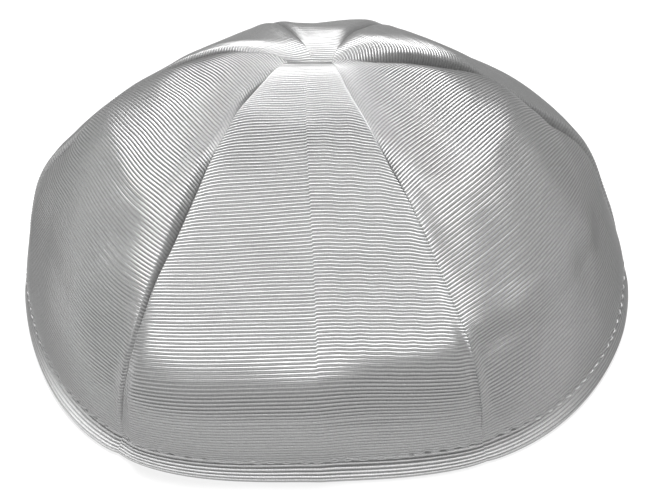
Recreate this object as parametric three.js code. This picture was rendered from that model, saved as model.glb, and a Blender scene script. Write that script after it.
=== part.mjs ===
import * as THREE from "three";

// Kippah skullcap: six panels of ribbed satin sewn into a soft dome, with a turned-up hem.
// Millimetres, +Z up. The rim rests on z = 0 and the front of the cap faces -Y.
// Azimuths are degrees round the crown from the front, positive towards +X.

const RIM_RADIUS = 75; // mean outside radius at the rim
const WALL = 1.2; // satin with its interfacing
const SEAM_GAP = 0.3; // clear width between neighbouring panels
const TIP_RADIUS = 0.2; // where a panel with a wide tip starts, beside the cross seam
const POINT_RADIUS = 0.9; // where a panel that comes to a point starts
const TIP_REACH = 0.5; // share of the meridian over which the tips' offsets fade out
const TOP_LEAN = { x: -3.8, y: 1.6 }; // how far the top lies off the rim's middle
const PLAN_MIDDLE = { x: 0.01, y: -1.0 }; // middle of the outline, which moves to the origin
const RIM_CORNERS = 0.012; // the rim is a soft hexagon, this much wider at its corners
const RIM_CORNER_AZIMUTH = 27; // one of those corners
const TOP_DIMPLE = { depth: 1.6, width: 12 }; // the seams pull the top in
const VALLEY_START = 0.12; // a seam's valley is at full depth from this share of the meridian
const VALLEY_FADE = { from: 0.5, to: 0.95, left: 0.25 }; // and runs out towards the rim

// Slope of the crown along a meridian, in degrees below level, by share of the arc from top to rim.
const MERIDIAN = [
  { share: 0.0, slope: 0 },
  { share: 0.1, slope: 5 },
  { share: 0.22, slope: 18 },
  { share: 0.36, slope: 34 },
  { share: 0.52, slope: 37 },
  { share: 0.68, slope: 47 },
  { share: 0.8, slope: 72 },
  { share: 0.9, slope: 80 },
  { share: 1.0, slope: 90 },
];

// The plan's departure from a circle, as shares of the radius.
const PLAN_WAVES = [
  { order: 2, cos: -0.004, sin: -0.02 },
  { order: 3, cos: 0.016, sin: -0.001 },
  { order: 4, cos: -0.028, sin: -0.005 },
];

// Seams in order of azimuth: four azimuths that steer each one from the top to the rim, the offset
// of its top end along the cross seam, the depth of its valley, and the valley's width on the panels
// before and after it.
const SEAMS = {
  back: { top: -164, upper: -158, lower: -153, rim: -154, tip: 0.6, depth: 0.5, before: 7, after: 7 },
  left: { top: -116, upper: -107, lower: -99, rim: -94, tip: -5.1, depth: 1.6, before: 7, after: 9 },
  front_left: { top: -41, upper: -36, lower: -31, rim: -36, tip: -5.1, depth: 1.6, before: 4, after: 6 },
  front_right: { top: 22, upper: 32, lower: 26, rim: 28, tip: 4.7, depth: 1.2, before: 6, after: 4 },
  right: { top: 98, upper: 108, lower: 118, rim: 95, tip: 4.7, depth: 2.8, before: 8, after: 4 },
  back_right: { top: 157, upper: 152, lower: 148, rim: 147, tip: 4.7, depth: 1.2, before: 8, after: 5 },
};

// Panels between two seams: the radius at which the tip starts, and how far the middle puffs out.
const PANELS = [
  { name: "panel_back_left", from: "back", to: "left", start: TIP_RADIUS, puff: -2.8 },
  { name: "panel_front_left", from: "left", to: "front_left", start: POINT_RADIUS, puff: -2.0 },
  { name: "panel_front", from: "front_left", to: "front_right", start: TIP_RADIUS, puff: -2.5 },
  { name: "panel_front_right", from: "front_right", to: "right", start: POINT_RADIUS, puff: -2.0 },
  { name: "panel_back_right", from: "right", to: "back_right", start: POINT_RADIUS, puff: -0.8 },
  { name: "panel_back", from: "back_right", to: "back", start: TIP_RADIUS, puff: -1.0 },
];

// Soft folds where a panel bends, each a straight line on the panel between two places, given as shares
// across it and down the meridian. A fold stands out by its height and eases out over its width.
const FOLDS = [
  { panel: "panel_front_left", across: [0.15, 0.82], share: [0.47, 0.47], height: 2.8, width: 24 },
  { panel: "panel_front_left", across: [0.25, 0.85], share: [0.77, 0.72], height: -2.8, width: 24 },
  { panel: "panel_front_left", across: [0.93, 0.94], share: [0.36, 0.76], height: 2.0, width: 12 },
  { panel: "panel_front", across: [0.05, 0.95], share: [0.8, 0.7], height: 1.2, width: 18 },
  { panel: "panel_front_right", across: [0.8, 0.2], share: [0.45, 0.47], height: 2.8, width: 24 },
  { panel: "panel_front_right", across: [0.8, 0.16], share: [0.78, 0.73], height: -2.6, width: 24 },
  { panel: "panel_front_right", across: [0.15, 0.05], share: [0.46, 0.7], height: 2.0, width: 12 },
  { panel: "panel_back_right", across: [0.08, 0.08], share: [0.08, 0.46], height: 1.0, width: 10 },
];
const FOLD_ROUNDING = 2;
const SEAM_HOLD = { width: 4, share: 0.85 }; // a seam takes this share of a fold's height away, this near

// Rows of the crown above the hem, as shares of the meridian, after the row at the tip.
const CROWN_ROWS = [0.03, 0.065, 0.11, 0.17, 0.24, 0.31, 0.38, 0.46, 0.54, 0.62, 0.7, 0.77, 0.83, 0.88];

// Rows of the hem by distance above the rim's edge: how far the face rolls out, and the thickness,
// which doubles where the edge is turned up inside. The stitches draw a groove above the roll.
const HEM_ROWS = [
  { above: 8.8, out: -0.2, thick: WALL },
  { above: 8.2, out: -0.2, thick: 2 * WALL },
  { above: 6.3, out: -0.2, thick: 2 * WALL },
  { above: 5.0, out: -0.7, thick: 1.6 * WALL },
  { above: 3.6, out: 0.1, thick: 2 * WALL },
  { above: 1.2, out: 0.4, thick: 2 * WALL },
  { above: 0, out: 0, thick: 1.8 * WALL },
];

// Columns from a seam to the middle of a panel: distance from the seam, but never past this share.
const COLUMNS = [
  { distance: 0, share: 0 },
  { distance: 1.6, share: 0.07 },
  { distance: 4, share: 0.14 },
  { distance: 8, share: 0.22 },
  { distance: 18, share: 0.31 },
  { distance: 30, share: 0.41 },
];

const SATIN = { color: 0xbcbcbc, roughness: 0.38, metalness: 0 };

const MERIDIAN_STEPS = 400;
const { degToRad, lerp, smoothstep } = THREE.MathUtils;

// The meridian as a table of radius, height and slope, summed from the slopes and scaled to the rim.
function sumMeridian() {
  const slopeAt = (share) => {
    const next = MERIDIAN.findIndex((row) => row.share >= share);
    if (next <= 0) return degToRad(MERIDIAN[0].slope);
    const [a, b] = [MERIDIAN[next - 1], MERIDIAN[next]];
    return degToRad(lerp(a.slope, b.slope, (share - a.share) / (b.share - a.share)));
  };
  const points = [{ radius: 0, height: 0, slope: slopeAt(0) }];
  for (let step = 1; step <= MERIDIAN_STEPS; step++) {
    const last = points[step - 1];
    const middle = slopeAt((step - 0.5) / MERIDIAN_STEPS);
    points.push({
      radius: last.radius + Math.cos(middle),
      height: last.height - Math.sin(middle),
      slope: slopeAt(step / MERIDIAN_STEPS),
    });
  }
  const end = points[MERIDIAN_STEPS];
  const scale = RIM_RADIUS / end.radius;
  return points.map(({ radius, height, slope }) => ({
    radius: radius * scale,
    height: (height - end.height) * scale,
    slope,
  }));
}

const meridian = sumMeridian();
const crownHeight = meridian[0].height;
const meridianLength = MERIDIAN_STEPS * Math.hypot(
  meridian[1].radius - meridian[0].radius,
  meridian[1].height - meridian[0].height,
);

function meridianAt(share) {
  const place = Math.min(Math.max(share, 0), 1) * MERIDIAN_STEPS;
  const index = Math.min(Math.floor(place), MERIDIAN_STEPS - 1);
  const [a, b] = [meridian[index], meridian[index + 1]];
  const part = place - index;
  return {
    radius: lerp(a.radius, b.radius, part),
    height: lerp(a.height, b.height, part),
    slope: lerp(a.slope, b.slope, part),
  };
}

// Radius of the plan at an azimuth, as a share of the mean, with corners that show at the rim.
function planFactor(azimuth, lift) {
  let factor = 1 + RIM_CORNERS * (1 - lift) * Math.cos(6 * (azimuth - degToRad(RIM_CORNER_AZIMUTH)));
  for (const { order, cos, sin } of PLAN_WAVES) {
    factor += cos * Math.cos(order * azimuth) + sin * Math.sin(order * azimuth);
  }
  return factor;
}

// Azimuth of a seam along the meridian: a cubic steered by its four azimuths.
function seamAzimuth({ top, upper, lower, rim }, share) {
  const rest = 1 - share;
  const ends = top * rest ** 3 + rim * share ** 3;
  const steering = 3 * share * rest * (upper * rest + lower * share);
  return degToRad(ends + steering);
}

// Depth of a seam's valley: full on the crown, shallow at the rim.
function valleyDepth(seam, share) {
  const rise = smoothstep(share, 0, VALLEY_START);
  const fade = lerp(1, VALLEY_FADE.left, smoothstep(share, VALLEY_FADE.from, VALLEY_FADE.to));
  return seam.depth * rise * fade;
}

// The offsets of the tips along the cross seam die out down the meridian.
function tipFade(share) {
  return Math.max(0, 1 - share / TIP_REACH) ** 2;
}

// A dent that is sharp where the stitches hold it and eases out over its width.
function dent(depth, distance, width) {
  return depth * Math.max(0, 1 - distance / width) ** 2;
}

// One panel's surface: across runs from 0 at its first seam to 1 at its second.
function panelSurface(panel) {
  const first = SEAMS[panel.from];
  const second = SEAMS[panel.to];
  const turn = second.top < first.top ? 2 * Math.PI : 0;
  const azimuths = (share) => [seamAzimuth(first, share), seamAzimuth(second, share) + turn];

  const widthAt = (share) => {
    const [low, high] = azimuths(share);
    return meridianAt(share).radius * (high - low) + Math.abs(second.tip - first.tip) * tipFade(share);
  };

  const flatAt = (share, across) => (
    new THREE.Vector3(widthAt(share) * (across - 0.5), share * meridianLength, 0)
  );
  const folds = FOLDS.filter((fold) => fold.panel === panel.name).map(({ across, share, height, width }) => {
    const line = new THREE.Line3(flatAt(share[0], across[0]), flatAt(share[1], across[1]));
    return { line, height, width };
  });

  const foldsAt = (share, across) => {
    const place = flatAt(share, across);
    let out = 0;
    for (const { line, height, width } of folds) {
      const nearest = line.closestPointToPoint(place, true, new THREE.Vector3());
      const distance = Math.hypot(nearest.distanceTo(place), FOLD_ROUNDING) - FOLD_ROUNDING;
      out += dent(height, distance, width);
    }
    const toSeam = Math.min(across, 1 - across) * widthAt(share);
    return out * (1 - SEAM_HOLD.share * (1 - smoothstep(toSeam, 0, SEAM_HOLD.width)));
  };

  const pointAt = (share, across, out) => {
    const { radius, height, slope } = meridianAt(share);
    const lift = height / crownHeight;
    const width = widthAt(share);
    const [low, high] = azimuths(share);
    const azimuth = lerp(low, high, across);
    const inwards =
      dent(valleyDepth(first, share), across * width, first.after) +
      dent(valleyDepth(second, share), (1 - across) * width, second.before) +
      dent(TOP_DIMPLE.depth, share * meridianLength, TOP_DIMPLE.width);
    const puff = panel.puff * Math.sin(Math.PI * across) * Math.sin(Math.PI * share);
    const offset = out + puff + foldsAt(share, across) - inwards;
    const reach = radius * planFactor(azimuth, lift) + offset * Math.sin(slope);
    const tip = lerp(first.tip, second.tip, across) * tipFade(share);
    const clear = (SEAM_GAP / 2) * (1 - 2 * across);
    const [sin, cos] = [Math.sin(azimuth), Math.cos(azimuth)];
    return new THREE.Vector3(
      reach * sin + clear * cos + tip + TOP_LEAN.x * lift - PLAN_MIDDLE.x,
      -reach * cos + clear * sin + TOP_LEAN.y * lift - PLAN_MIDDLE.y,
      height + offset * Math.cos(slope),
    );
  };
  return { widthAt, pointAt };
}

// Share of the meridian at which it reaches a radius near the top.
function shareAtRadius(radius) {
  const index = meridian.findIndex((point) => point.radius >= radius);
  const [a, b] = [meridian[index - 1], meridian[index]];
  return (index - 1 + (radius - a.radius) / (b.radius - a.radius)) / MERIDIAN_STEPS;
}

function panelRows(panel) {
  const crown = [shareAtRadius(panel.start), ...CROWN_ROWS].map((share) => ({ share, out: 0, thick: WALL }));
  const hem = HEM_ROWS.map(({ above, out, thick }) => ({ share: 1 - above / meridianLength, out, thick }));
  return [...crown, ...hem];
}

// Places of the columns across a panel of this width, mirrored about its middle.
function columnPlaces(width) {
  const half = COLUMNS.map(({ distance, share }) => Math.min(distance / width, share));
  const mirrored = half.map((place) => 1 - place).reverse();
  return [...half, 0.5, ...mirrored];
}

// A panel as a closed wall: an outer and an inner skin, joined round their edges.
function panelGeometry(panel) {
  const { widthAt, pointAt } = panelSurface(panel);
  const rows = panelRows(panel);
  const columns = 2 * COLUMNS.length + 1;
  const positions = [];
  for (const inner of [false, true]) {
    for (const { share, out, thick } of rows) {
      for (const across of columnPlaces(widthAt(share))) {
        const point = pointAt(share, across, inner ? out - thick : out);
        if (share === 1) point.z = 0;
        positions.push(...point.toArray());
      }
    }
  }

  const faces = [];
  const outer = (row, column) => row * columns + column;
  const inner = (row, column) => outer(row, column) + rows.length * columns;
  const quad = (a, b, c, d) => faces.push(a, b, c, a, c, d);
  const [rim, edge] = [rows.length - 1, columns - 1];
  for (let row = 0; row < rim; row++) {
    const below = row + 1;
    for (let column = 0; column < edge; column++) {
      const beside = column + 1;
      quad(outer(row, column), outer(below, column), outer(below, beside), outer(row, beside));
      quad(inner(row, column), inner(row, beside), inner(below, beside), inner(below, column));
    }
    quad(outer(row, 0), inner(row, 0), inner(below, 0), outer(below, 0));
    quad(outer(row, edge), outer(below, edge), inner(below, edge), inner(row, edge));
  }
  for (let column = 0; column < edge; column++) {
    const beside = column + 1;
    quad(outer(0, column), outer(0, beside), inner(0, beside), inner(0, column));
    quad(outer(rim, column), inner(rim, column), inner(rim, beside), outer(rim, beside));
  }

  const geometry = new THREE.BufferGeometry();
  geometry.setAttribute("position", new THREE.Float32BufferAttribute(positions, 3));
  geometry.setIndex(faces);
  geometry.computeVertexNormals();
  return geometry;
}

const cap = new THREE.Group();
for (const panel of PANELS) {
  const mesh = new THREE.Mesh(panelGeometry(panel), new THREE.MeshStandardMaterial(SATIN));
  mesh.name = panel.name;
  cap.add(mesh);
}

export default cap;
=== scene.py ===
import bpy
import numpy as np
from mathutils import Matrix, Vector


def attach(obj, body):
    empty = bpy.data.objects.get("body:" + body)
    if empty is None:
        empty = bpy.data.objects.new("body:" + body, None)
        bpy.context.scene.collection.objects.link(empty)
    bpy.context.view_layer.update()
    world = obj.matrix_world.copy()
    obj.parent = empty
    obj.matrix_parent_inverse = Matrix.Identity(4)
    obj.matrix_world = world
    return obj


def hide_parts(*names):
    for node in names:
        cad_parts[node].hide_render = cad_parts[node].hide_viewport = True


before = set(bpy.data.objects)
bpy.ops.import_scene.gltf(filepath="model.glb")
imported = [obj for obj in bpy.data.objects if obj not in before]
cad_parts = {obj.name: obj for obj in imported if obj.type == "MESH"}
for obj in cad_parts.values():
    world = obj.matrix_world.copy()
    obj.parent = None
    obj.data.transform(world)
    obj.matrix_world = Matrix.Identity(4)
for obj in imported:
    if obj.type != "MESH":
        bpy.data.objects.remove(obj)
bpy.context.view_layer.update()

# Kippah skullcap: six panels of ribbed satin sewn into a soft dome, with a turned-up, stitched hem.
# Shapes are worked out in millimetres and become metres when a mesh is made.
# Azimuths are degrees round the crown from the front, positive towards +X.

MM = 0.001

# Driving sizes of the crown.
RIM_RADIUS = 75
TIP_REACH = 0.5             # share of the meridian at which the offsets of the panels' tips have faded
TOP_LEAN = (-3.8, 1.6)      # how far the top stands off the rim's middle
PLAN_MIDDLE = (0.01, -1.0)  # middle of the rim's outline, which is moved to the origin
RIM_CORNERS = 0.012         # height of the six soft corners at the rim, as a share of the radius
RIM_CORNER_AZIMUTH = 27
TOP_DIMPLE = {"depth": 2.2, "width": 12}
VALLEY_START = 0.12         # share of the meridian at which the valleys along the seams are whole
VALLEY_FADE = {"from": 0.5, "to": 0.95, "left": 0.25}  # shares between which they fade, and what is left

# Slope of the crown along a meridian, in degrees below level, by share of the arc from top to rim.
MERIDIAN_SHARE = [0.0, 0.1, 0.22, 0.36, 0.52, 0.68, 0.8, 0.9, 1.0]
MERIDIAN_SLOPE = [0, 5, 18, 34, 37, 47, 72, 80, 90]
MERIDIAN_STEPS = 800

# The plan's departure from a circle: order, and shares of the radius for cosine and sine.
PLAN_WAVES = [(2, -0.004, -0.02), (3, 0.016, -0.001), (4, -0.028, -0.005)]

# Seams in order of azimuth: four azimuths that steer each one from the top to the rim, the offset
# of its top end along the cross seam, the depth of its valley, and the valley's width on the panels
# before and after it.
SEAM_COLUMNS = ("top", "upper", "lower", "rim", "tip", "depth", "before", "after")
SEAM_ROWS = {
    "back": (-164, -158, -153, -154, 0.6, 0.5, 7, 7),
    "left": (-116, -107, -99, -94, -5.1, 1.6, 7, 9),
    "front_left": (-41, -36, -31, -36, -5.1, 1.6, 4, 6),
    "front_right": (22, 32, 26, 28, 4.7, 1.2, 6, 4),
    "right": (98, 108, 118, 95, 4.7, 2.8, 8, 4),
    "back_right": (157, 152, 148, 147, 4.7, 1.2, 8, 5),
}
SEAMS = {name: dict(zip(SEAM_COLUMNS, row)) for name, row in SEAM_ROWS.items()}

# Panels between two seams, how far the middle of each puffs out, or sinks in where that is negative, and
# the azimuth of its grain, which the ribs cross at a right angle.
PANEL_COLUMNS = ("name", "from", "to", "puff", "grain")
PANEL_ROWS = [
    ("back_left", "back", "left", -2.8, -124),
    ("front_left", "left", "front_left", -2.0, -55),
    ("front", "front_left", "front_right", -2.5, -2),
    ("front_right", "front_right", "right", -2.0, 54),
    ("back_right", "right", "back_right", -0.8, 122),
    ("back", "back_right", "back", -1.0, 177),
]
PANELS = [dict(zip(PANEL_COLUMNS, row)) for row in PANEL_ROWS]

# Soft folds where a panel bends, each a straight line on the panel between two places, given as shares
# across it and down the meridian. A fold stands out by its height, or in where that is negative, and eases
# out over its width.
FOLD_COLUMNS = ("panel", "across_1", "share_1", "across_2", "share_2", "height", "width")
FOLD_ROWS = [
    ("front_left", 0.15, 0.48, 0.87, 0.46, 3.6, 24),
    ("front_left", 0.30, 0.78, 0.90, 0.75, -3.4, 25),
    ("front_left", 0.95, 0.36, 0.96, 0.76, 1.2, 7),
    ("front", 0.05, 0.83, 0.95, 0.73, 1.6, 20),
    ("front", 0.12, 0.85, 0.48, 0.83, 1.7, 16),
    ("front_right", 0.80, 0.45, 0.12, 0.43, 3.6, 24),
    ("front_right", 0.74, 0.79, 0.08, 0.75, -3.6, 26),
    ("front_right", 0.13, 0.46, 0.04, 0.70, 0.8, 6),
    ("back_right", 0.08, 0.08, 0.08, 0.46, 0.5, 10),
]
FOLDS = [dict(zip(FOLD_COLUMNS, row)) for row in FOLD_ROWS]
FOLD_ROUNDING = 2.0
FOLD_SHARPNESS = 1.3        # from 2, which eases out softly, to 1, which has straight flanks
SEAM_HOLD = {"width": 4, "share": 0.85}  # a seam takes this share of a fold's height away, this near to it

# The edges that meet in a seam: the roll of the cloth beside it on the panels before and after it, by
# height, distance from the seam, width and lean over the seam, and the crease, by its depth in the upper
# and in the lower part of the seam and its width. A crease of negative depth is a ridge.
NO_ROLL = (0.0, 1.0, 1.0, 0.0)
LOW_ROLL = (0.3, 2.0, 1.5, 0.0)
SEAM_EDGES = {
    "back": {"before": LOW_ROLL, "after": LOW_ROLL, "crease": (0.5, 0.5, 0.9)},
    "left": {"before": (0.6, 1.7, 1.4, 0.5), "after": NO_ROLL, "crease": (0.8, 0.8, 0.7)},
    "front_left": {"before": (0.4, 1.2, 0.9, 0.35), "after": NO_ROLL, "crease": (0.9, 0.9, 0.6)},
    "front_right": {"before": NO_ROLL, "after": NO_ROLL, "crease": (1.0, -0.4, 1.1)},
    "right": {"before": NO_ROLL, "after": (0.5, 1.6, 1.3, 0.6), "crease": (0.9, 0.9, 0.8)},
    "back_right": {"before": LOW_ROLL, "after": LOW_ROLL, "crease": (0.5, 0.5, 0.9)},
}
SEAM_EDGE_REACH = (0.02, 0.22, 0.86, 0.96)  # shares of the meridian between which they come and go
CREASE_TURN = (0.3, 0.5)    # shares between which the upper part of a seam becomes the lower

# The cloth.
CLOTH = 0.7                 # thickness of the wall
SEAM_GAP = 0.06             # between the folded edges that meet in a seam
TIP_START = 0.0006          # share of the meridian at which a panel's tip starts
RIB_PITCH = 0.794
RIB_HEIGHT = 0.19           # from groove to crest
RIB_ROUNDNESS = 1.6         # from 1, a roof's section, to 2, a parabola's
RIB_ROWS = (0, 0.07, 0.25, 0.42, 0.58, 0.75, 0.93)  # places of the rows in one rib
RIB_JITTER = 0.05           # unevenness of the pitch, as a share of it
RIB_SEARCH_ROUNDS = 4       # rounds in which the place of a rib is closed in on
BACK_RIB_SHARE = 0.3        # the ribs are weaker on the inside

# How a rib wanders off its line: by this many ribs, in waves of these lengths on a panel of this size.
RIB_WANDER = {"ribs": 0.22, "waves": 8, "shortest": 9, "longest": 40, "length": 60, "width": 40, "seed": 50}

# A line down a panel that was once pressed: a low ridge. Beyond it, between two shares of the meridian, the
# ribs are shifted along the cloth and ripple, both measured in ribs.
PRESSED_FOLD = {"panel": "front", "across": 0.545, "height": 0.2, "width": 7}
FOLD_SHIFT = {"ribs": -0.5, "width": 0.3, "from": 0.05, "to": 0.8, "fade": 0.1}
FOLD_RIPPLE = {"ribs": 0.13, "length": 5.5}

# The hem. Its profile goes by distance above the rim: how far its face stands out, and the same where the
# hem flares.
HEM_TURN = 8.6              # height of the edge that is turned up inside
HEM_TURN_END = 0.3          # half the height over which that edge ends
HEM_MARGIN = 1.25           # the fine columns of the hem reach this many times as high
HEM_FOLD = 0.7              # radius of the fold at the rim
HEM_ABOVE = [0, 0.7, 1.4, 2.6, 3.7, 4.7, 5.3, 6.4, 9, 14, 18]
HEM_OUT = [-0.7, -0.1, 0, -0.05, -0.2, -0.45, -0.45, -0.2, -0.1, 0, 0]
HEM_FLARE = [-1.6, -0.9, -0.95, -1.35, -1.85, -2.4, -2.4, -2.0, -1.4, -0.5, 0]
HEM_FLARE_AZIMUTHS = (-80, -45, 15, 60)  # the hem flares between these, where it lies out from the wall
HEM_SHIFTS = (-0.5, -0.25, 0, 0.25, 0.5)  # heights over which the profile is averaged, to round it
HEM_GROOVE = 4.9            # height of the stitches
HEM_PUCKER = {"above": 5.6, "out": 0.2, "width": 0.8, "uneven": 0.8, "beats": (1.7, 0.61)}
# Where the flare draws its ribs out, they are taller, and a painted highlight lightens their grooves and
# crests.
HEM_RIBS = {"above": 2.4, "width": 1.8, "taller": 0.15, "groove": 1.3, "crest": 3.0}
STITCHES = 132              # round the whole rim
STITCH_LENGTH = 0.62        # share of the stitch pitch that shows
STITCH_UNEVEN = 0.15        # how far a stitch strays in place and length, as a share of them
STITCH_MARGIN = 0.2         # share of the pitch that stays free beside a seam
THREAD_RADIUS = 0.2
THREAD_SIDES = 6

# Sections of a stitch from end to end: place, radius as a share of the thread's, and lift.
STITCH_SECTIONS = [
    (-1.0, 0.3, -0.28),
    (-0.8, 0.8, -0.03),
    (-0.4, 1.0, 0.09),
    (0.0, 1.0, 0.13),
    (0.4, 1.0, 0.09),
    (0.8, 0.8, -0.03),
    (1.0, 0.3, -0.28),
]

# Faces across a panel: on the crown, on the hem, and on the inside of the crown.
CROWN_COLUMNS = 48
HEM_COLUMNS = 192
INSIDE_COLUMNS = 12
SEAM_CROWDING = 0.8         # how strongly the columns crowd towards the seams

# Soft unevenness of the cloth: waves of these lengths and this height in all, calm towards the top and the
# rim beyond these shares of the meridian.
CRUMPLE = {"waves": 16, "shortest": 13, "longest": 42, "height": 0.4, "calm": (0.2, 0.8), "seed": 5}

# Materials: greys, of which the grooves' darker grey is painted shade, the streaks of the warp in waves per
# metre, and roughness.
PAINTED_GROOVE_SHADE = 0.31
CREST_GREY = 0.44
WARP_WAVES = (5200, 900, 1)
WARP_SPAN = (0.3, 0.7)      # of the noise, which is drawn out to the shades
WARP_SHADES = (0.72, 1.15)
WARP_STRENGTH = 0.5
SATIN_ROUGHNESS = (0.44, 0.6)
SATIN_METALLIC = 0.7
THREAD_GREYS = (0.32, 0.52)
THREAD_WAVES = 900
FLOOR_GREY = 0.22
FLOOR_GLOW = 0.78
FLOOR_HALF = 1500

# The camera, at the photograph's viewing angle.
IMAGE_WIDTH = 650
FOCAL_PIXELS = 1828
SENSOR_WIDTH = 36.0
CAMERA_ELEVATION = 35
CAMERA_DISTANCE = 450
AIM_OFFSET = (-0.58, 9.66)  # to the right of and above the rim's middle, as the camera sees it
CAMERA_CLIP = (0.05, 20)    # in metres

# The studio's light, in metres: each softbox has a place, a size and a radiance.
WORLD_LIGHT = 0.06
LIGHT_TARGET = (0, 0, 0.04)
SOFTBOXES = [
    ("overhead_softbox", (-0.03, 0.10, 0.9), (0.26, 0.34), 60.0),
    ("front_softbox", (-0.1, -1.0, 0.35), (0.5, 0.5), 8.2),
]


def smoothstep(value, low, high):
    part = np.clip((value - low) / (high - low), 0, 1)
    return part * part * (3 - 2 * part)


def bump(value, centre, width):
    return np.exp(-(((value - centre) / width) ** 2))


def dent(depth, distance, width, power=2):
    """Depth of a dent at a distance from its middle, where it is deepest; it eases out over its width."""
    return depth * np.clip(1 - distance / width, 0, None) ** power


def sum_meridian():
    """Radius, height and slope along the meridian, summed from the slopes and scaled to the rim."""
    shares = np.linspace(0, 1, MERIDIAN_STEPS + 1)
    slopes = np.radians(np.interp(shares, MERIDIAN_SHARE, MERIDIAN_SLOPE))
    middles = (slopes[1:] + slopes[:-1]) / 2
    radii = np.concatenate([[0], np.cumsum(np.cos(middles))])
    drops = np.concatenate([[0], np.cumsum(np.sin(middles))])
    scale = RIM_RADIUS / radii[-1]
    return shares, radii * scale, (drops[-1] - drops) * scale, slopes, MERIDIAN_STEPS * scale


SHARES, RADII, HEIGHTS, SLOPES, MERIDIAN_LENGTH = sum_meridian()
RIBS = round(MERIDIAN_LENGTH / RIB_PITCH)


def seam_azimuth(seam, share):
    """Azimuth of a seam along the meridian, in radians: a cubic steered by its four azimuths."""
    rest = 1 - share
    ends = seam["top"] * rest**3 + seam["rim"] * share**3
    steering = 3 * share * rest * (seam["upper"] * rest + seam["lower"] * share)
    return np.radians(ends + steering)


def panel_azimuths(panel, share):
    first, second = SEAMS[panel["from"]], SEAMS[panel["to"]]
    turn = 2 * np.pi if second["top"] < first["top"] else 0
    return seam_azimuth(first, share), seam_azimuth(second, share) + turn


def azimuth_at(panel, share, across):
    low, high = panel_azimuths(panel, share)
    return low + across * (high - low)


def above_rim(share):
    """Distance from the rim's edge along the cloth."""
    return (1 - share) * MERIDIAN_LENGTH


def tip_fade(share):
    return np.clip(1 - share / TIP_REACH, 0, None) ** 2


def panel_width(panel, share):
    first, second = SEAMS[panel["from"]], SEAMS[panel["to"]]
    low, high = panel_azimuths(panel, share)
    tips = abs(second["tip"] - first["tip"]) * tip_fade(share)
    return np.interp(share, SHARES, RADII) * (high - low) + tips


def plan_factor(azimuth, lift):
    corner = np.radians(RIM_CORNER_AZIMUTH)
    factor = 1 + RIM_CORNERS * (1 - lift) * np.cos(6 * (azimuth - corner))
    for order, cosine, sine in PLAN_WAVES:
        factor = factor + cosine * np.cos(order * azimuth) + sine * np.sin(order * azimuth)
    return factor


def valley_depth(seam, share):
    rise = smoothstep(share, 0, VALLEY_START)
    fade = 1 - (1 - VALLEY_FADE["left"]) * smoothstep(share, VALLEY_FADE["from"], VALLEY_FADE["to"])
    return seam["depth"] * rise * fade


def soft_waves(seed, count, shortest, longest):
    """A function of place that swells and sinks softly, between about -1 and 1."""
    draw = np.random.default_rng(seed)
    headings = draw.normal(size=(count, 3))
    headings /= np.linalg.norm(headings, axis=1, keepdims=True)
    steps = 2 * np.pi / draw.uniform(shortest, longest, count)
    phases = draw.uniform(0, 2 * np.pi, count)

    def at(points):
        total = 0
        for heading, step, phase in zip(headings, steps, phases):
            total = total + np.sin(points @ (heading * step) + phase)
        return total / np.sqrt(count)

    return at


crumple_at = soft_waves(CRUMPLE["seed"], CRUMPLE["waves"], CRUMPLE["shortest"], CRUMPLE["longest"])


def seam_sides(panel, share, across):
    """The panel's two seams, the side of each that it lies on, and the distance from them."""
    width = panel_width(panel, share)
    return (panel["from"], "after", across * width), (panel["to"], "before", (1 - across) * width)


def edge_reach(share):
    start, full, fade, end = SEAM_EDGE_REACH
    return smoothstep(share, start, full) * (1 - smoothstep(share, fade, end))


def edge_offset(edges, side, share, distance):
    """How far the cloth beside a seam rolls out, and how far its edge turns in."""
    height, centre, width, _ = edges[side]
    upper, lower, reach = edges["crease"]
    depth = upper + (lower - upper) * smoothstep(share, *CREASE_TURN)
    return height * bump(distance, centre, width) - dent(depth, distance, reach)


def edge_lean(panel, share, across):
    """How far the rolls beside the panel's seams lean over them, towards larger azimuths."""
    lean = 0
    for name, side, distance in seam_sides(panel, share, across):
        _, centre, width, over = SEAM_EDGES[name][side]
        towards = 1 if side == "before" else -1
        lean = lean + towards * over * bump(distance, centre, width) * np.clip(distance / centre, 0, 1)
    return lean * edge_reach(share)


def place(panel, share, across, offset):
    """Points of a panel: share runs from top to rim, across from the first seam to the second."""
    first, second = SEAMS[panel["from"]], SEAMS[panel["to"]]
    radius = np.interp(share, SHARES, RADII)
    height = np.interp(share, SHARES, HEIGHTS)
    slope = np.interp(share, SHARES, SLOPES)
    lift = height / HEIGHTS[0]
    azimuth = azimuth_at(panel, share, across)
    reach = radius * plan_factor(azimuth, lift) + offset * np.sin(slope)
    tip = (first["tip"] + across * (second["tip"] - first["tip"])) * tip_fade(share)
    clear = SEAM_GAP / 2 * (1 - 2 * across) + edge_lean(panel, share, across)
    x = reach * np.sin(azimuth) + clear * np.cos(azimuth) + tip + TOP_LEAN[0] * lift - PLAN_MIDDLE[0]
    y = -reach * np.cos(azimuth) + clear * np.sin(azimuth) + TOP_LEAN[1] * lift - PLAN_MIDDLE[1]
    z = np.where(share >= 1, 0, height + offset * np.cos(slope))
    return np.stack(np.broadcast_arrays(x, y, z), axis=-1)


def hem_flare(azimuth):
    start, full, fade, end = np.radians(HEM_FLARE_AZIMUTHS)
    azimuth = (azimuth + np.pi) % (2 * np.pi) - np.pi
    return smoothstep(azimuth, start, full) * (1 - smoothstep(azimuth, fade, end))


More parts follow.
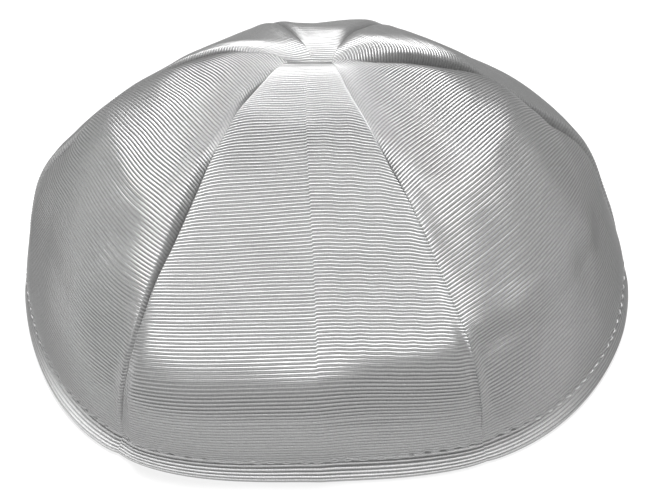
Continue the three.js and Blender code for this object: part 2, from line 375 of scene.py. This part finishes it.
def hem_offset(panel, share, across):
    """How far the hem's roll, groove and puckers stand out."""
    above = above_rim(share)
    azimuth = azimuth_at(panel, share, across)
    stitch = azimuth * STITCHES / (2 * np.pi)
    flare = hem_flare(azimuth)
    out = 0
    for shift in HEM_SHIFTS:
        plain = np.interp(np.abs(above + shift), HEM_ABOVE, HEM_OUT)
        flared = np.interp(np.abs(above + shift), HEM_ABOVE, HEM_FLARE)
        out = out + (plain + (flared - plain) * flare) / len(HEM_SHIFTS)
    pucker = HEM_PUCKER["out"] * bump(above, HEM_PUCKER["above"], HEM_PUCKER["width"])
    fast, slow = HEM_PUCKER["beats"]
    uneven = 1 + HEM_PUCKER["uneven"] * np.sin(stitch * fast) * np.sin(stitch * slow + 1)
    return out + pucker * uneven * np.cos(2 * np.pi * stitch)


def hem_ribs(panel, share, across):
    """How strongly the flare of the hem draws out the ribs, up to 1, which also sets how strongly the
    painted highlight lightens them.
    """
    flare = hem_flare(azimuth_at(panel, share, across))
    return flare * bump(above_rim(share), HEM_RIBS["above"], HEM_RIBS["width"])


def fold_inset(share):
    """How far the fold at the rim has drawn in from the face of the cloth."""
    rest = np.clip(1 - above_rim(share) / HEM_FOLD, 0, 1)
    return HEM_FOLD * (1 - np.sqrt(1 - rest**2))


def flat_point(panel, share, across):
    """Place on the flat cloth in millimetres, from the middle of the panel's tip."""
    return panel_width(panel, share) * (across - 0.5), share * MERIDIAN_LENGTH


def fold_offset(panel, share, across):
    """How far the panel's soft folds stand out."""
    x, y = flat_point(panel, share, across)
    out = 0 * x
    for fold in FOLDS:
        if fold["panel"] != panel["name"]:
            continue
        x_1, y_1 = flat_point(panel, fold["share_1"], fold["across_1"])
        x_2, y_2 = flat_point(panel, fold["share_2"], fold["across_2"])
        run = (x_2 - x_1) ** 2 + (y_2 - y_1) ** 2
        part = np.clip(((x - x_1) * (x_2 - x_1) + (y - y_1) * (y_2 - y_1)) / run, 0, 1)
        across_line = np.hypot(x - x_1 - part * (x_2 - x_1), y - y_1 - part * (y_2 - y_1))
        distance = np.hypot(across_line, FOLD_ROUNDING) - FOLD_ROUNDING
        out = out + dent(fold["height"], distance, fold["width"], FOLD_SHARPNESS)
    return out


def face_offset(panel, share, across):
    """Offset of the cloth's face from the smooth crown, without ribs."""
    width = panel_width(panel, share)
    offset = panel["puff"] * np.sin(np.pi * across) * np.sin(np.pi * share)
    nearest = np.minimum(across, 1 - across) * width
    held = SEAM_HOLD["share"] * (1 - smoothstep(nearest, 0, SEAM_HOLD["width"]))
    offset = offset + fold_offset(panel, share, across) * (1 - held)
    for name, side, distance in seam_sides(panel, share, across):
        seam = SEAMS[name]
        offset = offset + edge_offset(SEAM_EDGES[name], side, share, distance) * edge_reach(share)
        offset = offset - dent(valley_depth(seam, share), distance, seam[side])
    offset = offset - dent(TOP_DIMPLE["depth"], share * MERIDIAN_LENGTH, TOP_DIMPLE["width"])
    if panel["name"] == PRESSED_FOLD["panel"]:
        distance = np.abs(across - PRESSED_FOLD["across"]) * width
        offset = offset + dent(PRESSED_FOLD["height"], distance, PRESSED_FOLD["width"])
    start, end = CRUMPLE["calm"]
    calm = smoothstep(share, 0, start) * (1 - smoothstep(share, end, 1))
    crumple = CRUMPLE["height"] * crumple_at(place(panel, share, across, 0))
    return offset + crumple * calm + hem_offset(panel, share, across)


def rib_share(panel, rib, across):
    """Share of the meridian at which a rib, straight in the flat cloth, crosses this place."""
    share = np.broadcast_to(rib, np.broadcast_shapes(np.shape(rib), np.shape(across)))
    angle = rib * np.pi / 2
    for _ in range(RIB_SEARCH_ROUNDS):
        turn = azimuth_at(panel, share, across) - np.radians(panel["grain"])
        share = np.arctan2(np.sin(angle), np.cos(angle) * np.cos(turn)) * 2 / np.pi
    return np.clip(share, 0, 1)


def rib_rows(draw):
    """Rows of faces from tip to rim: place along the cloth, and height from groove (0) to crest (1)."""
    grooves = (np.arange(RIBS + 1) + draw.uniform(-RIB_JITTER, RIB_JITTER, RIBS + 1)) / RIBS
    grooves[0], grooves[-1] = TIP_START, 1
    part = np.array(RIB_ROWS)
    places = grooves[:-1, None] + (grooves[1:] - grooves[:-1])[:, None] * part
    crests = np.broadcast_to(1 - np.abs(2 * part - 1) ** RIB_ROUNDNESS, places.shape)
    return np.append(places.ravel(), 1), np.append(crests.ravel(), 0)


def column_places(panel, count):
    """Places of the columns across a panel, close together at its seams and at the pressed fold."""
    even = np.linspace(0, 1, count + 1)
    places = even - SEAM_CROWDING * np.sin(2 * np.pi * even) / (2 * np.pi)
    if panel["name"] == PRESSED_FOLD["panel"]:
        half = FOLD_SHIFT["width"] / panel_width(panel, 0.5) / 2
        beside = int(np.searchsorted(places, PRESSED_FOLD["across"]))
        places[beside - 1] = PRESSED_FOLD["across"] - half
        places[beside] = PRESSED_FOLD["across"] + half
    return places


def fold_shift(panel, share, across):
    """How far the ribs beyond the pressed fold are moved along the cloth, in ribs."""
    if panel["name"] != PRESSED_FOLD["panel"]:
        return 0
    beyond = across - PRESSED_FOLD["across"]
    ripple = np.sin(2 * np.pi * beyond * panel_width(panel, share) / FOLD_RIPPLE["length"])
    start, end, fade = FOLD_SHIFT["from"], FOLD_SHIFT["to"], FOLD_SHIFT["fade"]
    held = smoothstep(share, start, start + fade) * (1 - smoothstep(share, end - fade, end))
    return np.where(beyond > 0, FOLD_SHIFT["ribs"] + FOLD_RIPPLE["ribs"] * ripple, 0) * held


def panel_block(panel, rows, crests, columns, inside, wander):
    """Points of some rows of one side of a panel, their painted shading (painted shade in the grooves, a
    painted highlight on the flared hem), and their places on the cloth.
    """
    across = column_places(panel, columns)[None, :]
    rows = rows[:, None]
    length, width = RIB_WANDER["length"], RIB_WANDER["width"]
    flat_place = np.stack(np.broadcast_arrays(rows * length, across * width, 0), -1)
    wobble = RIB_WANDER["ribs"] * np.sin(np.pi * rows) * wander(flat_place)
    rib = np.clip(rows + (wobble + fold_shift(panel, rows, across)) / RIBS, TIP_START, 1)
    share = rib_share(panel, np.where(rows >= 1, 1, rib), across)
    face = face_offset(panel, share, across)
    drawn = hem_ribs(panel, share, across)
    height = RIB_HEIGHT * crests[:, None] * (1 + HEM_RIBS["taller"] * drawn)
    if inside:
        beyond_turn = smoothstep(above_rim(share), HEM_TURN - HEM_TURN_END, HEM_TURN + HEM_TURN_END)
        thick = CLOTH * (2 - beyond_turn)
        offset = face - thick + fold_inset(share) - BACK_RIB_SHARE * height
    else:
        offset = face + height - RIB_HEIGHT / 2 - fold_inset(share)
    # Painted highlight on the flared hem: its grooves and crests are painted lighter.
    painted_hem_highlight = HEM_RIBS["groove"] + HEM_RIBS["crest"] * crests[:, None] ** 2
    painted_shading = crests[:, None] + painted_hem_highlight * drawn
    return place(panel, share, across, offset), painted_shading, *flat_point(panel, share, across)


def join_rows(lower, upper):
    """Faces between two rows of vertex numbers, one of which may be several times as fine."""
    if len(lower) == len(upper):
        return list(zip(lower[:-1], upper[:-1], upper[1:], lower[1:]))
    if len(lower) > len(upper):
        return [face[::-1] for face in join_rows(upper, lower)]
    times = (len(upper) - 1) // (len(lower) - 1)
    faces = []
    for index in range(len(lower) - 1):
        fine = upper[index * times:(index + 1) * times + 1]
        half = times // 2
        faces += [(lower[index], a, b) for a, b in zip(fine[:half], fine[1:half + 1])]
        faces.append((lower[index], fine[half], lower[index + 1]))
        faces += [(lower[index + 1], a, b) for a, b in zip(fine[half:-1], fine[half + 1:])]
    return faces


def mesh_object(name, points, faces):
    mesh = bpy.data.meshes.new(name)
    mesh.from_pydata((np.asarray(points) * MM).tolist(), [], faces)
    mesh.polygons.foreach_set("use_smooth", np.ones(len(mesh.polygons), dtype=bool))
    piece = bpy.data.objects.new(name, mesh)
    bpy.context.scene.collection.objects.link(piece)
    return piece


def add_cloth_coordinates(mesh, along, down, painted_shading):
    """Places on the flat cloth in metres as UVs, and the painted shading of the ribs as an attribute:
    painted shade in the grooves, a painted highlight on the flared hem.
    """
    mesh.attributes.new("rib", "FLOAT", "POINT").data.foreach_set("value", painted_shading)
    corners = np.empty(len(mesh.loops), dtype=np.int32)
    mesh.loops.foreach_get("vertex_index", corners)
    flat = np.stack([along, down], axis=1)[corners] * MM
    mesh.uv_layers.new(name="cloth").data.foreach_set("uv", flat.ravel())


def panel_faces(outside, lining):
    """Faces of a closed panel from its rows of vertex numbers, both from tip to rim."""
    loop = outside + lining[::-1]
    faces = []
    for upper, lower in zip(loop, loop[1:] + loop[:1]):
        faces += join_rows(upper, lower)
    for side, turned in ((0, True), (-1, False)):
        edge = [row[side] for row in outside]
        back = [row[side] for row in lining]
        for a, b, c, d in zip(edge[:-1], edge[1:], back[1:], back[:-1]):
            faces.append((d, c, b, a) if turned else (a, b, c, d))
    return faces


def make_panel(panel, seed):
    """A panel as closed cloth: ribbed face, fold at the rim, turned-up hem and weakly ribbed inside."""
    draw = np.random.default_rng(seed)
    rows, crests = rib_rows(draw)
    shortest, longest = RIB_WANDER["shortest"], RIB_WANDER["longest"]
    wander = soft_waves(seed + RIB_WANDER["seed"], RIB_WANDER["waves"], shortest, longest)
    hem = int(np.searchsorted(rows, 1 - HEM_TURN * HEM_MARGIN / MERIDIAN_LENGTH))
    plan = [
        (slice(0, hem), CROWN_COLUMNS, False),
        (slice(hem, None), HEM_COLUMNS, False),
        (slice(hem, None), CROWN_COLUMNS, True),
        (slice(0, hem), INSIDE_COLUMNS, True),
    ]
    points, painted_shading, along, down, numbers = [], [], [], [], []
    count = 0
    for part, columns, inside in plan:
        block = panel_block(panel, rows[part], crests[part], columns, inside, wander)
        shape = block[1].shape
        points.append(block[0].reshape(-1, 3))
        for store, values in zip((painted_shading, along, down), block[1:]):
            store.append(np.ravel(values))
        index = count + np.arange(shape[0] * shape[1]).reshape(shape)
        count += index.size
        numbers.append([row.tolist() for row in index])
    faces = panel_faces(numbers[0] + numbers[1], numbers[3] + numbers[2])
    piece = mesh_object("cloth_" + panel["name"], np.concatenate(points), faces)
    add_cloth_coordinates(piece.data, *(np.concatenate(store) for store in (along, down, painted_shading)))
    return piece


def stitch_faces(start, rings):
    """Faces of a closed tube of rings, whose vertex numbers begin at start."""
    faces = []
    for step in range(rings - 1):
        for side in range(THREAD_SIDES):
            a = start + step * THREAD_SIDES + side
            b = start + step * THREAD_SIDES + (side + 1) % THREAD_SIDES
            faces.append((a, a + THREAD_SIDES, b + THREAD_SIDES, b))
    last = start + rings * THREAD_SIDES - 1
    faces.append(tuple(start + side for side in range(THREAD_SIDES)))
    faces.append(tuple(last - side for side in range(THREAD_SIDES)))
    return faces


def make_stitches(panel, seed):
    """The stitches that hold the hem, lying in its groove, not quite even."""
    draw = np.random.default_rng(seed)
    low, high = (float(value) for value in panel_azimuths(panel, 1.0))
    pitch = 2 * np.pi / STITCHES
    share = 1 - HEM_GROOVE / MERIDIAN_LENGTH
    places, sizes, lifts = np.array(STITCH_SECTIONS).T
    spans = places * pitch * STITCH_LENGTH / 2
    radii = sizes * THREAD_RADIUS
    around = np.arange(THREAD_SIDES) * 2 * np.pi / THREAD_SIDES
    points, faces = [], []
    for number in range(int(np.ceil(low / pitch)), int(np.floor(high / pitch)) + 1):
        centre = (number + 0.5 + draw.uniform(-STITCH_UNEVEN, STITCH_UNEVEN)) * pitch
        azimuths = centre + spans * (1 + draw.uniform(-STITCH_UNEVEN, STITCH_UNEVEN))
        if azimuths[0] < low + STITCH_MARGIN * pitch or azimuths[-1] > high - STITCH_MARGIN * pitch:
            continue
        across = (azimuths - low) / (high - low)
        base = face_offset(panel, np.full_like(across, share), across)
        faces += stitch_faces(len(points), len(radii))
        for radius, lift, a, offset in zip(radii, lifts, across, base):
            for angle in around:
                out = offset + lift + radius * np.cos(angle)
                rise = radius * np.sin(angle) / MERIDIAN_LENGTH
                points.append(place(panel, np.array(share + rise), np.array(a), out))
    return mesh_object("stitches_" + panel["name"], points, faces)


def new_material(name):
    material = bpy.data.materials.new(name)
    material.use_nodes = True
    tree = material.node_tree
    return material, tree, tree.nodes["Principled BSDF"]


def grey(value):
    return value, value, value, 1


def map_range(tree, value, low, high, start=0, end=1):
    """The output of a node that maps a value from the span of start and end to that of low and high."""
    node = tree.nodes.new("ShaderNodeMapRange")
    node.inputs["From Min"].default_value = start
    node.inputs["From Max"].default_value = end
    node.inputs["To Min"].default_value = low
    node.inputs["To Max"].default_value = high
    tree.links.new(value, node.inputs["Value"])
    return node.outputs["Result"]


def satin_material():
    """Silver-grey filament satin: crests lighter than the grooves, which are painted in shade, fine warp
    streaks, and a painted highlight on the flared hem.
    """
    material, tree, shader = new_material("satin")
    nodes, links = tree.nodes, tree.links
    cloth = nodes.new("ShaderNodeUVMap")
    cloth.uv_map = "cloth"
    stretch = nodes.new("ShaderNodeMapping")
    stretch.inputs["Scale"].default_value = WARP_WAVES
    links.new(cloth.outputs["UV"], stretch.inputs["Vector"])
    warp = nodes.new("ShaderNodeTexNoise")
    warp.inputs["Scale"].default_value = 1
    warp.inputs["Detail"].default_value = 2
    links.new(stretch.outputs["Vector"], warp.inputs["Vector"])

    # Painted shade: the "rib" attribute runs from 0 in the grooves, which are painted darker, to 1 on the
    # crests; past 1 on the flared hem it paints a highlight.
    rib = nodes.new("ShaderNodeAttribute")
    rib.attribute_name = "rib"
    groove = nodes.new("ShaderNodeMix")
    groove.data_type = "RGBA"
    # Left unclamped so that the painted highlight of the flared hem goes past the crest grey.
    groove.clamp_factor = False
    groove.inputs["A"].default_value = grey(PAINTED_GROOVE_SHADE)
    groove.inputs["B"].default_value = grey(CREST_GREY)
    links.new(rib.outputs["Fac"], groove.inputs["Factor"])
    streak = nodes.new("ShaderNodeMix")
    streak.data_type = "RGBA"
    streak.blend_type = "MULTIPLY"
    streak.inputs["Factor"].default_value = WARP_STRENGTH
    links.new(groove.outputs["Result"], streak.inputs["A"])
    links.new(map_range(tree, warp.outputs["Fac"], *WARP_SHADES, *WARP_SPAN), streak.inputs["B"])
    links.new(streak.outputs["Result"], shader.inputs["Base Color"])

    links.new(map_range(tree, warp.outputs["Fac"], *SATIN_ROUGHNESS), shader.inputs["Roughness"])
    shader.inputs["Metallic"].default_value = SATIN_METALLIC
    shader.inputs["Anisotropic"].default_value = 1
    along = nodes.new("ShaderNodeTangent")
    along.direction_type = "UV_MAP"
    along.uv_map = "cloth"
    links.new(along.outputs["Tangent"], shader.inputs["Tangent"])
    return material


def thread_material():
    """Polyester sewing thread, duller than the cloth."""
    material, tree, shader = new_material("thread")
    noise = tree.nodes.new("ShaderNodeTexNoise")
    noise.inputs["Scale"].default_value = THREAD_WAVES
    tree.links.new(map_range(tree, noise.outputs["Fac"], *THREAD_GREYS), shader.inputs["Base Color"])
    shader.inputs["Roughness"].default_value = 0.6
    shader.inputs["Specular IOR Level"].default_value = 0.4
    return material


def floor_material():
    """A pale floor that glows as a light table does, so that it stays white up to the rim."""
    material, _, shader = new_material("floor")
    shader.inputs["Base Color"].default_value = grey(FLOOR_GREY)
    shader.inputs["Emission Color"].default_value = grey(1)
    shader.inputs["Emission Strength"].default_value = FLOOR_GLOW
    shader.inputs["Roughness"].default_value = 0.9
    shader.inputs["Specular IOR Level"].default_value = 0.1
    return material


def make_floor():
    half = FLOOR_HALF
    corners = [(-half, -half, 0), (half, -half, 0), (half, half, 0), (-half, half, 0)]
    floor = mesh_object("floor", corners, [(0, 1, 2, 3)])
    floor.data.materials.append(floor_material())


def add_light(name, position, size, radiance):
    """A softbox aimed at the cap's middle."""
    light = bpy.data.lights.new(name, "AREA")
    light.shape = "RECTANGLE"
    light.size, light.size_y = size
    light.energy = radiance * np.pi * size[0] * size[1]
    lamp = bpy.data.objects.new(name, light)
    lamp.location = position
    lamp.rotation_euler = (Vector(LIGHT_TARGET) - Vector(position)).to_track_quat("-Z", "Y").to_euler()
    bpy.context.scene.collection.objects.link(lamp)


def make_lights():
    scene = bpy.context.scene
    world = bpy.data.worlds.new("studio")
    world.use_nodes = True
    world.node_tree.nodes["Background"].inputs["Color"].default_value = grey(1)
    world.node_tree.nodes["Background"].inputs["Strength"].default_value = WORLD_LIGHT
    scene.world = world
    scene.view_settings.view_transform = "Standard"
    for softbox in SOFTBOXES:
        add_light(*softbox)


def make_camera():
    """A lens in front of the cap that looks down at the photograph's elevation."""
    elevation = np.radians(CAMERA_ELEVATION)
    middle = Vector((-PLAN_MIDDLE[0], -PLAN_MIDDLE[1], 0))
    back = Vector((0, -np.cos(elevation), np.sin(elevation)))
    up = Vector((0, np.sin(elevation), np.cos(elevation)))
    aim = middle + Vector((1, 0, 0)) * AIM_OFFSET[0] + up * AIM_OFFSET[1]
    position = middle + back * CAMERA_DISTANCE
    data = bpy.data.cameras.new("camera")
    data.sensor_width = SENSOR_WIDTH
    data.lens = FOCAL_PIXELS * SENSOR_WIDTH / IMAGE_WIDTH
    data.clip_start, data.clip_end = CAMERA_CLIP
    camera = bpy.data.objects.new("camera", data)
    camera.location = position * MM
    camera.rotation_euler = (aim - position).to_track_quat("-Z", "Y").to_euler()
    bpy.context.scene.collection.objects.link(camera)
    bpy.context.scene.camera = camera


def make_cap():
    satin, thread = satin_material(), thread_material()
    for seed, panel in enumerate(PANELS):
        cloth = make_panel(panel, seed)
        cloth.data.materials.append(satin)
        stitches = make_stitches(panel, seed)
        stitches.data.materials.append(thread)
        for piece in (cloth, stitches):
            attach(piece, "root")
        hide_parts("panel_" + panel["name"])


make_camera()
make_cap()
make_floor()
make_lights()
